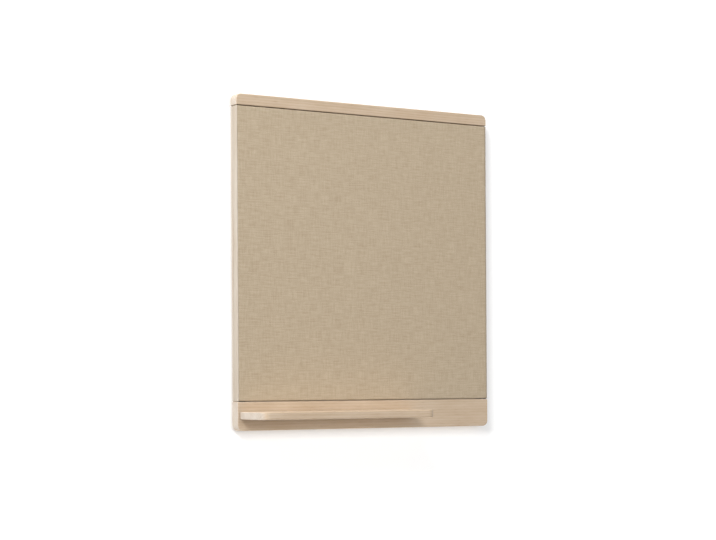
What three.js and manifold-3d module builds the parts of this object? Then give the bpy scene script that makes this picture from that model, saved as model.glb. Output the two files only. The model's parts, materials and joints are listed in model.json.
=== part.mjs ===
// A wall-hung pin board: a linen-covered pin panel in an oak frame, with a small oak shelf.
// Lengths are in millimetres: +X to the viewer's right, +Y into the wall, +Z up.
// The origin is the centre of the wall cleat's back face, and the wall is the plane y = 0.

import * as THREE from 'three';
import { mergeVertices } from 'three/addons/utils/BufferGeometryUtils.js';
import Module from 'manifold-3d';

const wasm = await Module();
wasm.setup();

// Board
const boardWidth = 680;
const boardHeight = 750;
const frameDepth = 28.5;
const wallGap = 1.5;
const topRailHeight = 25;
const bottomRailHeight = 64.5;
const cornerRadius = 13;
const arris = 1.6;

// Shadow gaps between the rails and what lies between them
const seamWidth = 2;
const seamDepth = 1.2;
const stileInset = 0.6;
const lipWidth = 2.2;
const grooveWidth = 1.4;
const grooveDepth = 1.4;
const grooveFromBack = 9.3;

// Clearances
const fit = 0.3;
const holeFit = 0.15;
const overrun = 3;

// Pin panel, and the seats that carry it and the back panel
const panelDepth = 12;
const linenThickness = 0.8;
const linenRound = 2;
const hemWidth = 30;
const panelSeat = 8;
const backPanelSeat = 13.5;
const backPanelThickness = 4;

// Shelf
const shelfLength = 454;
const shelfReach = 105;
const shelfThickness = 17;
const shelfCornerRadius = 20;
const shelfArris = 2;
const shelfLeftMargin = 6;
const shelfUnderside = 25.5;

// Hanging cleats
const cleatLength = 440;
const boardCleatHeight = 40;
const wallCleatHeight = 45;
const cleatClearance = 0.9;
const wallScrewHoleRadius = 2.5;
const wallScrewHeadRadius = 5;
const wallScrewHeadDepth = 2.5;

// Dowels
const frameDowelRadius = 3;
const frameDowelGrip = 13;
const frameDowelSpacing = 10;
const shelfDowelRadius = 4;
const shelfDowelGrip = 18;

// Screws: shank and head radius, head height, point, and the drive sunk into the head
const smallScrew = { shank: 1.5, head: 3, sink: 1.5, point: 3, drive: 1, driveDepth: 1 };
const cleatScrew = { shank: 1.75, head: 3.5, sink: 2, point: 3, drive: 1.2, driveDepth: 1.2 };
const shelfScrew = { shank: 2, head: 4, sink: 2.2, point: 4, drive: 1.4, driveDepth: 1.4 };
const frameScrewBite = 9.7;
const panelScrewBite = 5;
const cleatScrewBite = 2.7;
const shelfScrewBite = 28;
const shelfCounterbore = 9;
const shelfCounterboreFit = 0.6;

// Staples
const stapleWidth = 10;
const stapleLeg = 6;
const stapleWire = 0.5;
const stapleWireWidth = 1;
const stapleFromEdge = 20;

// Bumpers
const bumperRadius = 8;
const bumperFromSide = 40;
const bumperFromBottom = 20;

// Where repeated fasteners stand, as shares of the length that carries them
const stapleShares = [-0.32, 0, 0.32];
const sideScrewShares = [-0.38, 0, 0.38];
const railScrewShares = [-0.25, 0.25];
const panelScrewColumnShares = [-0.33, 0.33];
const panelScrewRowShares = [-0.36, 0, 0.36];
const cleatScrewShares = [-0.42, -0.14, 0.14, 0.42];
const cleatScrewHeightShare = 0.36;
const wallHoleHeightShare = 0.1;
const shelfScrewShares = [-0.4, 0, 0.4];
const shelfDowelShares = [-0.2, 0.2];

// Counts of flat faces
const cornerSteps = 6;
const arrisSteps = 2;
const dowelSides = 16;
const screwSides = 10;
const bumperSides = 24;
const quarterTurn = Math.PI / 2;

// Depths from the wall: front is negative
const frontY = -(wallGap + frameDepth);
const backY = -wallGap;
const panelBackY = frontY + panelDepth;
const seatY = panelBackY + fit;
const stapleTopY = panelBackY + holeFit + stapleWire;
const backPanelFrontY = stapleTopY + holeFit;
const backPanelBackY = backPanelFrontY + backPanelThickness;
const ledgeY = backPanelBackY + fit;
const ledgeDepth = backY - ledgeY;
const cleatThickness = ledgeDepth - cleatClearance;
const boardCleatBackY = ledgeY + cleatThickness;

// Screw lengths, from what each one passes through
const coreBackY = panelBackY - linenThickness - fit;
const frameScrewLength = backPanelThickness + fit + frameScrewBite;
const panelScrewLength = backPanelBackY - coreBackY + panelScrewBite;
const cleatScrewLength = cleatThickness + fit + cleatScrewBite;
const shelfScrewLength = frameDepth + fit - shelfCounterbore + shelfScrewBite;

// Heights above the board's bottom edge
const middleLow = bottomRailHeight + seamWidth;
const middleHigh = boardHeight - topRailHeight - seamWidth;
const backPanelLow = middleLow + panelSeat + fit;
const backPanelHigh = middleHigh - panelSeat - fit;
const ledgeLow = backPanelLow + backPanelSeat;
const ledgeHigh = backPanelHigh - backPanelSeat;
const boardCleatHigh = ledgeHigh - fit;
const boardCleatLow = boardCleatHigh - boardCleatHeight;
const bevelGap = fit * Math.SQRT2;
const originHeight = boardCleatLow - bevelGap + boardCleatBackY - wallCleatHeight / 2;

// Half widths from the board's middle
const stileOuter = boardWidth / 2 - stileInset;
const panelHalf = stileOuter - lipWidth - fit;
const seatEdge = panelHalf - panelSeat;
const backPanelHalf = seatEdge - fit;
const stileInner = backPanelHalf - backPanelSeat;
const ledgeHalf = stileInner - fit;

const oak = new THREE.MeshStandardMaterial({ color: 0xcdb8a0, roughness: 0.6, metalness: 0 });
const linen = new THREE.MeshStandardMaterial({ color: 0xbdab93, roughness: 0.95, metalness: 0 });
const softBoard = new THREE.MeshStandardMaterial({ color: 0xa98f6a, roughness: 1, metalness: 0 });
const plywood = new THREE.MeshStandardMaterial({ color: 0xd8c3a0, roughness: 0.75, metalness: 0 });
const steel = new THREE.MeshStandardMaterial({ color: 0xb4b6b8, roughness: 0.35, metalness: 1 });
const felt = new THREE.MeshStandardMaterial({ color: 0xd9d4cb, roughness: 1, metalness: 0 });

// Joins and cuts

function toSolid(geometry) {
  const bare = geometry.clone();
  bare.deleteAttribute('normal');
  bare.deleteAttribute('uv');
  const merged = mergeVertices(bare);
  const vertProperties = merged.attributes.position.array;
  const triVerts = new Uint32Array(merged.index.array);
  return new wasm.Manifold(new wasm.Mesh({ numProp: 3, vertProperties, triVerts }));
}

function toGeometry(solid) {
  const { vertProperties, triVerts } = solid.getMesh();
  const geometry = new THREE.BufferGeometry();
  geometry.setAttribute('position', new THREE.BufferAttribute(vertProperties, 3));
  geometry.setIndex(new THREE.BufferAttribute(triVerts, 1));
  geometry.computeVertexNormals();
  return geometry;
}

function joined(first, others) {
  return toGeometry(others.reduce((solid, other) => solid.add(toSolid(other)), toSolid(first)));
}

function cut(body, tools) {
  return toGeometry(tools.reduce((solid, tool) => solid.subtract(toSolid(tool)), toSolid(body)));
}

// Basic shapes

// A block between two opposite corners.
function block([x0, y0, z0], [x1, y1, z1]) {
  const geometry = new THREE.BoxGeometry(x1 - x0, y1 - y0, z1 - z0);
  return geometry.translate((x0 + x1) / 2, (y0 + y1) / 2, (z0 + z1) / 2);
}

// A plate whose outline is drawn in the front view, from one depth back to another.
function plate(outline, fromY, toY, round) {
  const geometry = new THREE.ExtrudeGeometry(outline, {
    depth: toY - fromY - round * 2,
    bevelEnabled: round > 0,
    bevelThickness: round,
    bevelSize: round,
    bevelOffset: -round,
    bevelSegments: arrisSteps,
    curveSegments: cornerSteps,
  });
  return geometry.rotateX(quarterTurn).translate(0, toY - round, 0);
}

// An outline in the front view, with its upper or lower corners rounded.
function railOutline(low, high, roundAtTop) {
  const half = boardWidth / 2;
  const outline = new THREE.Shape();
  const inner = half - cornerRadius;
  if (roundAtTop) {
    outline.moveTo(-half, low);
    outline.lineTo(half, low);
    outline.lineTo(half, high - cornerRadius);
    outline.absarc(inner, high - cornerRadius, cornerRadius, 0, quarterTurn);
    outline.lineTo(-inner, high);
    outline.absarc(-inner, high - cornerRadius, cornerRadius, quarterTurn, Math.PI);
  } else {
    outline.moveTo(half, high);
    outline.lineTo(-half, high);
    outline.lineTo(-half, low + cornerRadius);
    outline.absarc(-inner, low + cornerRadius, cornerRadius, Math.PI, -quarterTurn);
    outline.lineTo(inner, low);
    outline.absarc(inner, low + cornerRadius, cornerRadius, -quarterTurn, 0);
  }
  outline.closePath();
  return outline;
}

function rectangle(half, low, high) {
  const outline = new THREE.Shape();
  outline.moveTo(-half, low);
  outline.lineTo(half, low);
  outline.lineTo(half, high);
  outline.lineTo(-half, high);
  outline.closePath();
  return outline;
}

// A round pin along Y, centred on its middle.
function pin(radius, length) {
  return new THREE.CylinderGeometry(radius, radius, length, dowelSides);
}

// A countersunk screw along Y: its head's face is at y = 0 and its point at y = -length.
function screw({ shank, head, sink, point, drive, driveDepth }, length) {
  const profile = [
    [0, -length],
    [shank, point - length],
    [shank, -sink],
    [head, 0],
    [drive, 0],
    [drive, -driveDepth],
    [0, -driveDepth],
  ];
  return new THREE.LatheGeometry(profile.map(([r, y]) => new THREE.Vector2(r, y)), screwSides);
}

// The hole for that screw, open above its head.
function screwHole({ shank, head, sink, point }, length) {
  const profile = [
    [0, -length - holeFit],
    [shank + holeFit, point - length],
    [shank + holeFit, -sink - holeFit],
    [head + holeFit, -holeFit],
    [head + holeFit, overrun],
    [0, overrun],
  ];
  return new THREE.LatheGeometry(profile.map(([r, y]) => new THREE.Vector2(r, y)), screwSides);
}

// Spots: where each repeated piece stands, with the turn that lays it along its axis

const upright = new THREE.Euler(quarterTurn, 0, 0);
const driven = new THREE.Euler(0, 0, 0);
const drivenBack = new THREE.Euler(0, 0, Math.PI);
const turnedStaple = new THREE.Euler(0, quarterTurn, 0);

function spot(name, x, y, z, turn) {
  return { name, at: new THREE.Vector3(x, y, z), turn };
}

function moved(geometry, { at, turn }) {
  const matrix = new THREE.Matrix4().makeRotationFromEuler(turn).setPosition(at);
  return geometry.clone().applyMatrix4(matrix);
}

function holes(geometry, spots) {
  return spots.map((place) => moved(geometry, place));
}

const sides = [
  { side: 'left', sign: -1 },
  { side: 'right', sign: 1 },
];

const frameDowelMiddle = (stileOuter - seamDepth + stileInner) / 2;
const frameDowelY = (ledgeY + backY) / 2;
const frameDowels = sides.flatMap(({ side, sign }) => [
  { end: 'top', z: boardHeight - topRailHeight },
  { end: 'bottom', z: bottomRailHeight },
].flatMap(({ end, z }) => [
  { row: 'outer', offset: frameDowelSpacing / 2 },
  { row: 'inner', offset: -frameDowelSpacing / 2 },
].map(({ row, offset }) => {
  const x = sign * (frameDowelMiddle + offset);
  return spot(`${side}_${end}_${row}_dowel`, x, frameDowelY, z, upright);
})));

const backPanelMiddle = (backPanelLow + backPanelHigh) / 2;
const backPanelHeight = backPanelHigh - backPanelLow;
const backPanelScrews = [
  ...sides.flatMap(({ side, sign }) => sideScrewShares.map((share, i) => spot(
    `${side}_back_panel_screw_${i + 1}`,
    sign * (backPanelHalf + stileInner) / 2,
    backPanelFrontY,
    backPanelMiddle + backPanelHeight * share,
    drivenBack,
  ))),
  ...[
    { end: 'top', z: (backPanelHigh + ledgeHigh) / 2 },
    { end: 'bottom', z: (backPanelLow + ledgeLow) / 2 },
  ].flatMap(({ end, z }) => railScrewShares.map((share, i) => spot(
    `${end}_back_panel_screw_${i + 1}`,
    boardWidth * share,
    backPanelFrontY,
    z,
    drivenBack,
  ))),
];

const panelMiddle = (middleLow + middleHigh) / 2;
const panelHeight = middleHigh - middleLow;
const panelScrews = panelScrewColumnShares.flatMap((column, i) => panelScrewRowShares.map(
  (row, j) => spot(
    `panel_screw_${i * panelScrewRowShares.length + j + 1}`,
    panelHalf * 2 * column,
    backPanelBackY,
    panelMiddle + panelHeight * row,
    driven,
  ),
));

const staples = stapleShares.flatMap((share, i) => [
  ...[
    { edge: 'top', z: middleHigh - stapleFromEdge },
    { edge: 'bottom', z: middleLow + stapleFromEdge },
  ].map(({ edge, z }) => spot(
    `${edge}_staple_${i + 1}`,
    panelHalf * 2 * share,
    stapleTopY,
    z,
    driven,
  )),
  ...sides.map(({ side, sign }) => spot(
    `${side}_staple_${i + 1}`,
    sign * (panelHalf - stapleFromEdge),
    stapleTopY,
    panelMiddle + panelHeight * share,
    turnedStaple,
  )),
]);

const shelfLeft = -boardWidth / 2 + shelfLeftMargin;
const shelfRight = shelfLeft + shelfLength;
const shelfMiddle = (shelfLeft + shelfRight) / 2;
const shelfBackY = frontY - fit;
const shelfFrontY = frontY - shelfReach;
const shelfLine = shelfUnderside + shelfThickness / 2;
const shelfScrews = shelfScrewShares.map((share, i) => spot(
  `shelf_screw_${i + 1}`,
  shelfMiddle + shelfLength * share,
  backY - shelfCounterbore,
  shelfLine,
  driven,
));
const shelfDowels = shelfDowelShares.map((share, i) => spot(
  `shelf_dowel_${i + 1}`,
  shelfMiddle + shelfLength * share,
  (frontY + shelfBackY) / 2,
  shelfLine,
  driven,
));

const cleatScrews = cleatScrewShares.map((share, i) => spot(
  `board_cleat_screw_${i + 1}`,
  cleatLength * share,
  boardCleatBackY,
  boardCleatHigh - boardCleatHeight * cleatScrewHeightShare,
  driven,
));

const bumpers = sides.map(({ side, sign }) => spot(
  `${side}_bumper`,
  sign * (boardWidth / 2 - bumperFromSide),
  backY / 2,
  bumperFromBottom,
  driven,
));

// Cutters shared by the pieces that a fastener joins

const frameDowelHole = pin(frameDowelRadius + holeFit, (frameDowelGrip + holeFit) * 2);
const shelfDowelHole = pin(shelfDowelRadius + holeFit, (shelfDowelGrip + holeFit) * 2);
const backPanelScrewHoles = holes(screwHole(smallScrew, frameScrewLength), backPanelScrews);
const panelScrewHoles = holes(screwHole(smallScrew, panelScrewLength), panelScrews);
const cleatScrewHoles = holes(screwHole(cleatScrew, cleatScrewLength), cleatScrews);
const shelfScrewHoles = holes(screwHole(shelfScrew, shelfScrewLength), shelfScrews);
const frameDowelHoles = holes(frameDowelHole, frameDowels);
const shelfDowelHoles = holes(shelfDowelHole, shelfDowels);

// The two legs of a staple, with the room that they need.
function stapleLegHoles(place) {
  return [-1, 1].map((sign) => {
    const middle = sign * (stapleWidth - stapleWire) / 2;
    const half = stapleWire / 2 + holeFit;
    const halfWidth = stapleWireWidth / 2 + holeFit;
    const deep = -stapleWire - stapleLeg - holeFit;
    return moved(block([middle - half, deep, -halfWidth], [middle + half, 0, halfWidth]), place);
  });
}

// Pieces

function rail(low, high, roundAtTop, ledges, cuts) {
  const bar = plate(railOutline(low, high, roundAtTop), frontY, backY, arris);
  return cut(joined(bar, ledges), cuts);
}

// The step under a rail that carries the pin panel and, deeper, the back panel.
function railLedges(railEdge, seatLow, ledgeEnd, direction) {
  const into = railEdge - direction * (arris + overrun);
  return [
    { y: seatY, z: seatLow },
    { y: ledgeY, z: ledgeEnd },
  ].map(({ y, z }) => block(
    [-ledgeHalf, y, Math.min(into, z)],
    [ledgeHalf, backY, Math.max(into, z)],
  ));
}

function topRail() {
  const low = boardHeight - topRailHeight;
  const ledges = railLedges(low, backPanelHigh + fit, ledgeHigh, -1);
  return rail(low, boardHeight, true, ledges, [...frameDowelHoles, ...backPanelScrewHoles]);
}

function bottomRail() {
  const counterbores = shelfScrews.map(({ at }) => moved(
    pin(shelfScrew.head + shelfCounterboreFit, (shelfCounterbore + overrun) * 2),
    { at: new THREE.Vector3(at.x, backY + overrun, at.z), turn: driven },
  ));
  const ledges = railLedges(bottomRailHeight, backPanelLow - fit, ledgeLow, 1);
  return rail(0, bottomRailHeight, false, ledges, [
    ...frameDowelHoles,
    ...backPanelScrewHoles,
    ...shelfDowelHoles,
    ...shelfScrewHoles,
    ...counterbores,
  ]);
}

// A side edge, drawn in plan from its outer face inwards and stretched from rail to rail.
function stile(sign) {
  const outline = new THREE.Shape();
  const at = (inward, y) => [sign * (stileOuter - inward), y];
  const grooveBack = backY - grooveFromBack;
  const grooveFront = grooveBack - grooveWidth;
  outline.moveTo(...at(arris, frontY));
  outline.lineTo(...at(lipWidth, frontY));
  outline.lineTo(...at(lipWidth, seatY));
  outline.lineTo(sign * seatEdge, seatY);
  outline.lineTo(sign * seatEdge, ledgeY);
  outline.lineTo(sign * stileInner, ledgeY);
  outline.lineTo(sign * stileInner, backY);
  outline.lineTo(...at(arris, backY));
  outline.quadraticCurveTo(...at(0, backY), ...at(0, backY - arris));
  outline.lineTo(...at(0, grooveBack));
  outline.lineTo(...at(grooveDepth, grooveBack));
  outline.lineTo(...at(grooveDepth, grooveFront));
  outline.lineTo(...at(0, grooveFront));
  outline.lineTo(...at(0, frontY + arris));
  outline.quadraticCurveTo(...at(0, frontY), ...at(arris, frontY));
  const low = bottomRailHeight + fit;
  const high = boardHeight - topRailHeight - fit;
  const bar = new THREE.ExtrudeGeometry(outline, {
    depth: high - low,
    bevelEnabled: false,
    curveSegments: arrisSteps * 2,
  }).translate(0, 0, low);
  // At both ends, the seam goes in from the outer face and from the front.
  const seams = [
    [low - overrun, middleLow],
    [middleHigh, high + overrun],
  ].flatMap(([z0, z1]) => [
    { inside: stileOuter - seamDepth, y: backY + overrun },
    { inside: stileOuter - lipWidth - overrun, y: frontY + seamDepth },
  ].map(({ inside, y }) => {
    const x = [sign * inside, sign * (stileOuter + overrun)].sort((a, b) => a - b);
    return block([x[0], frontY - overrun, z0], [x[1], y, z1]);
  }));
  return cut(bar, [...seams, ...frameDowelHoles, ...backPanelScrewHoles]);
}

// A slab of the pin panel, drawn in from its outer faces by an even distance.
function panelSlab(inset) {
  const outline = rectangle(panelHalf - inset, middleLow + inset, middleHigh - inset);
  return plate(outline, frontY + inset, panelBackY - inset, linenRound - inset);
}

// The cloth, turned over the core's edges onto its back.
function linenCover() {
  const window = plate(
    rectangle(panelHalf - hemWidth, middleLow + hemWidth, middleHigh - hemWidth),
    panelBackY - linenThickness * 2,
    panelBackY + overrun,
    0,
  );
  return cut(panelSlab(0), [panelSlab(linenThickness), window, ...staples.flatMap(stapleLegHoles)]);
}

function pinCore() {
  const core = panelSlab(linenThickness + fit);
  return cut(core, [...panelScrewHoles, ...staples.flatMap(stapleLegHoles)]);
}

function backPanel() {
  const outline = rectangle(backPanelHalf, backPanelLow, backPanelHigh);
  const board = plate(outline, backPanelFrontY, backPanelBackY, 0);
  return cut(board, [...backPanelScrewHoles, ...panelScrewHoles, ...cleatScrewHoles]);
}

function shelf() {
  const outline = new THREE.Shape();
  const hidden = shelfBackY + shelfArris + overrun;
  outline.moveTo(shelfLeft, hidden);
  outline.lineTo(shelfLeft, shelfFrontY + shelfCornerRadius);
  const cornerY = shelfFrontY + shelfCornerRadius;
  outline.absarc(shelfLeft + shelfCornerRadius, cornerY, shelfCornerRadius, Math.PI, -quarterTurn);
  outline.lineTo(shelfRight - shelfCornerRadius, shelfFrontY);
  outline.absarc(shelfRight - shelfCornerRadius, cornerY, shelfCornerRadius, -quarterTurn, 0);
  outline.lineTo(shelfRight, hidden);
  outline.closePath();
  const board = new THREE.ExtrudeGeometry(outline, {
    depth: shelfThickness - shelfArris * 2,
    bevelEnabled: true,
    bevelThickness: shelfArris,
    bevelSize: shelfArris,
    bevelOffset: -shelfArris,
    bevelSegments: arrisSteps,
    curveSegments: cornerSteps + arrisSteps,
  }).translate(0, 0, shelfUnderside + shelfArris);
  const behindRail = block(
    [shelfLeft - overrun, shelfBackY, shelfUnderside - overrun],
    [shelfRight + overrun, hidden + overrun, shelfUnderside + shelfThickness + overrun],
  );
  return cut(board, [behindRail, ...shelfDowelHoles, ...shelfScrewHoles]);
}

// A hanging strip drawn in section (y, z), stretched along X.
function strip(section, length) {
  const outline = new THREE.Shape(section.map(([y, z]) => new THREE.Vector2(y, z)));
  const bar = new THREE.ExtrudeGeometry(outline, { depth: length, bevelEnabled: false });
  const standing = bar.translate(0, 0, -length / 2);
  return standing.applyMatrix4(new THREE.Matrix4().set(
    0, 0, 1, 0,
    1, 0, 0, 0,
    0, 1, 0, 0,
    0, 0, 0, 1,
  ));
}

function boardCleat() {
  const section = [
    [ledgeY, boardCleatHigh],
    [ledgeY, boardCleatLow + cleatThickness],
    [boardCleatBackY, boardCleatLow],
    [boardCleatBackY, boardCleatHigh],
  ];
  return cut(strip(section, cleatLength), cleatScrewHoles);
}

function wallCleat() {
  const half = wallCleatHeight / 2;
  const section = [
    [-cleatThickness, -half],
    [0, -half],
    [0, half],
    [-cleatThickness, half + cleatThickness],
  ];
  const profile = [
    [0, -cleatThickness - overrun],
    [wallScrewHoleRadius, -cleatThickness - overrun],
    [wallScrewHoleRadius, -wallScrewHeadDepth],
    [wallScrewHeadRadius, 0],
    [wallScrewHeadRadius, overrun],
    [0, overrun],
  ];
  const hole = new THREE.LatheGeometry(profile.map(([r, y]) => new THREE.Vector2(r, y)), dowelSides);
  const spots = cleatScrewShares.map((share, i) => spot(
    `wall_hole_${i}`,
    cleatLength * share,
    -cleatThickness,
    wallCleatHeight * wallHoleHeightShare,
    drivenBack,
  ));
  return cut(strip(section, cleatLength), holes(hole, spots));
}

function staple() {
  const outline = new THREE.Shape();
  const half = stapleWidth / 2;
  const inner = half - stapleWire;
  const foot = -stapleWire - stapleLeg;
  outline.moveTo(-half, 0);
  outline.lineTo(-half, foot);
  outline.lineTo(-inner, foot);
  outline.lineTo(-inner, -stapleWire);
  outline.lineTo(inner, -stapleWire);
  outline.lineTo(inner, foot);
  outline.lineTo(half, foot);
  outline.lineTo(half, 0);
  outline.closePath();
  const bent = new THREE.ExtrudeGeometry(outline, { depth: stapleWireWidth, bevelEnabled: false });
  return bent.translate(0, 0, -stapleWireWidth / 2);
}

// Assembly

function piece(name, geometry, material) {
  const mesh = new THREE.Mesh(geometry, material);
  mesh.name = name;
  return mesh;
}

function pieces(geometry, material, spots) {
  return spots.map(({ name, at, turn }) => {
    const mesh = piece(name, geometry, material);
    mesh.position.copy(at);
    mesh.rotation.copy(turn);
    return mesh;
  });
}

const frame = new THREE.Group();
frame.add(
  piece('top_rail', topRail(), oak),
  piece('bottom_rail', bottomRail(), oak),
  ...sides.map(({ side, sign }) => piece(`${side}_stile`, stile(sign), oak)),
  ...pieces(pin(frameDowelRadius, frameDowelGrip * 2), oak, frameDowels),
);

const pinPanel = new THREE.Group();
pinPanel.add(
  piece('pin_core', pinCore(), softBoard),
  piece('linen_cover', linenCover(), linen),
  ...pieces(staple(), steel, staples),
);

const backing = new THREE.Group();
backing.add(
  piece('back_panel', backPanel(), plywood),
  ...pieces(screw(smallScrew, frameScrewLength), steel, backPanelScrews),
  ...pieces(screw(smallScrew, panelScrewLength), steel, panelScrews),
  piece('board_cleat', boardCleat(), oak),
  ...pieces(screw(cleatScrew, cleatScrewLength), steel, cleatScrews),
  ...pieces(new THREE.CylinderGeometry(bumperRadius, bumperRadius, wallGap, bumperSides), felt, bumpers),
);

const shelfUnit = new THREE.Group();
shelfUnit.add(
  piece('shelf', shelf(), oak),
  ...pieces(pin(shelfDowelRadius, shelfDowelGrip * 2), oak, shelfDowels),
  ...pieces(screw(shelfScrew, shelfScrewLength), steel, shelfScrews),
);

const board = new THREE.Group();
board.position.z = -originHeight;
board.add(frame, pinPanel, backing, shelfUnit);

const pinBoard = new THREE.Group();
pinBoard.add(piece('wall_cleat', wallCleat(), oak), board);

export default pinBoard;
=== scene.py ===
# The looks of the wall-hung pin board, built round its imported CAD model.
# Lengths are in metres: +X to the viewer's right, +Y into the wall, +Z up.

import json
import math

import bmesh
import bpy
from mathutils import Matrix, Vector, noise


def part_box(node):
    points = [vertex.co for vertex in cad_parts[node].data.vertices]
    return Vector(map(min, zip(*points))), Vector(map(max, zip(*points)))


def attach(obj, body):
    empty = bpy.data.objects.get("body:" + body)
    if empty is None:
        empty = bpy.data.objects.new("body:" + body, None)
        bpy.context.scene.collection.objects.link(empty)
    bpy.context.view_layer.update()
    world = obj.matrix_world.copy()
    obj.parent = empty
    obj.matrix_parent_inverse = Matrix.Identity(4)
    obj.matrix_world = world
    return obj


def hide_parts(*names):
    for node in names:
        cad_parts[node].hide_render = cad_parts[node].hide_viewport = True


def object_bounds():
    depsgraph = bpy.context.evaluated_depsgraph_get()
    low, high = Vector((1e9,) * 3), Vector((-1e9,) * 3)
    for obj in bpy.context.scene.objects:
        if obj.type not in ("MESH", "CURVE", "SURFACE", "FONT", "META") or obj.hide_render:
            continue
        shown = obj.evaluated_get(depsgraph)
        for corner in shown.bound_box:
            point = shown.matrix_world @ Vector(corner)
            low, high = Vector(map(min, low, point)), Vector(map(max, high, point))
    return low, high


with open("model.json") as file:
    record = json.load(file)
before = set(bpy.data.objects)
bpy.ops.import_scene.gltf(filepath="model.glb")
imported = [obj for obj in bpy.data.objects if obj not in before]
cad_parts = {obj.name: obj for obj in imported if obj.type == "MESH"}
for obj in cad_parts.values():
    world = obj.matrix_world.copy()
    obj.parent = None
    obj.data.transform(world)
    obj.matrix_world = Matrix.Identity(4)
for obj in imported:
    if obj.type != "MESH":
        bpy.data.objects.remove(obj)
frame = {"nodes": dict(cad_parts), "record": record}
cad_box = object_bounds()

# Photograph: its width, focal length and shift in pixels
IMAGE_WIDTH = 716
FOCAL_PIXELS = 1758
SHIFT_PIXELS = 112.623

# Camera: its sensor in millimetres, where it stands, and its turns in radians. It looks out level
SENSOR_WIDTH = 36
CAMERA_PLACE = Vector((-2.15257, -3.48991, -0.52964))
CAMERA_YAW = 0.550837
CAMERA_ROLL = -0.00584

# Frame
CLEARANCE = 0.0003
TOP_RAIL_HEIGHT = 0.025
BOTTOM_RAIL_HEIGHT = 0.0645
CORNER_RADIUS = 0.013
ARRIS = 0.0016
FINE_ARRIS = 0.0005
LIP_WIDTH = 0.0022
SEAM_DEPTH = 0.002
GROOVE_WIDTH = 0.0014
GROOVE_DEPTH = 0.0014
GROOVE_FROM_BACK = 0.0093

# Shelf
SHELF_CORNER_RADIUS = 0.02
SHELF_ARRIS = 0.002

# Linen: its cut size, which is the panel's front, its edges and a hem all round, and how it lies
LINEN_THICKNESS = 0.0008
LINEN_TURN = 0.0026
LINEN_HEM = 0.03
LINEN_CELL = 0.024
LINEN_SWELL = 0.00025
LINEN_SWELL_LENGTH = 0.11
LINEN_SMOOTHING = 2
CLOTH_MAP = "cloth"

# Screws and their holes. The wall holes lie at shares of the wall cleat's length and of its back's
# height, measured from the middle of its back
PANEL_SCREWS = [node for node in frame["nodes"] if node.startswith("panel_screw_")]
CLEAT_SCREWS = [node for node in frame["nodes"] if node.startswith("board_cleat_screw_")]
SHELF_SCREWS = [node for node in frame["nodes"] if node.startswith("shelf_screw_")]
HEAD_GAP = 0.00015
SCREW_TIP = 0.0002
SMALL_SCREW = {"shank": 0.0015, "head": 0.003, "sink": 0.0015, "point": 0.003, "cross": 0.0036}
CLEAT_SCREW = {"shank": 0.00175, "head": 0.0035, "sink": 0.002, "point": 0.003, "cross": 0.0042}
SHELF_SCREW = {"shank": 0.002, "head": 0.004, "sink": 0.0022, "point": 0.004, "cross": 0.0048}
CROSS_SLOT_SHARE = 0.24
CROSS_DEPTH_SHARE = 0.4
CROSS_TAPER_SHARE = 0.45
COUNTERBORE_GAP = 0.0006
WALL_HOLE_RADIUS = 0.0025
WALL_HEAD_RADIUS = 0.005
WALL_HEAD_DEPTH = 0.0025
WALL_HOLE_SHARES = (-0.42, -0.14, 0.14, 0.42)
WALL_HOLE_HEIGHT_SHARE = 0.1

# Felt bumpers
FELT_ROUND = 0.0004

# Modelling
OVERRUN = 0.003
ROUND_SIDES = 48
CORNER_STEPS = 12
ARRIS_STEPS = 4
FINE_STEPS = 2
EASE_ANGLE = math.radians(50)
FLAT_ANGLE = math.radians(0.5)
WELD = 1e-6

# Stage. The wall's own white grows with the distance past the board, so that the shade stays close
# to it. It grows between two distances past the sides (X), and two past the top and bottom (Z)
WALL_GAP = 0.0008
WALL_HALF = 1.5
FLOOR_DROP = 1.0
WALL_GLOWS = (0.13, 0.4)
WALL_FADES = {"X": (0.0, 0.1), "Z": (0.007, 0.024)}

# The world's light from before and from behind the wall, and how far the turn between them reaches
AMBIENTS = (0.28, 1.0)
AMBIENT_TURN = 0.15

# Lamps, as seen from the board's middle
LAMPS = {
    "key": {"towards": (-1.25, -1.0, 1.3), "distance": 5.5, "size": 2.2, "power": 260},
    "front": {"towards": (0.1, -1.0, 0.0), "distance": 5.0, "size": 2.0, "power": 100},
    "top": {"towards": (-0.3, 0.02, 1.0), "distance": 3.0, "size": 1.2, "power": 40},
    "side": {"towards": (-1.0, 0.0, 0.15), "distance": 3.0, "size": 1.6, "power": 35},
    "under": {"towards": (-0.1, 0.1, -1.0), "distance": 2.2, "size": 0.5, "power": 20},
}

# The curve of written colours: the end and the slope of its straight start, its offset and its power
CURVE_START = 0.04045
CURVE_SLOPE = 12.92
CURVE_OFFSET = 0.055
CURVE_POWER = 2.4


def light_of(share):
    """The light of one channel of a written colour, both from 0 to 1."""
    if share <= CURVE_START:
        return share / CURVE_SLOPE
    return ((share + CURVE_OFFSET) / (1 + CURVE_OFFSET)) ** CURVE_POWER


def srgb(red, green, blue):
    """A colour written as 0 to 255, as the shaders take it."""
    return (*[light_of(channel / 255) for channel in (red, green, blue)], 1.0)


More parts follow.
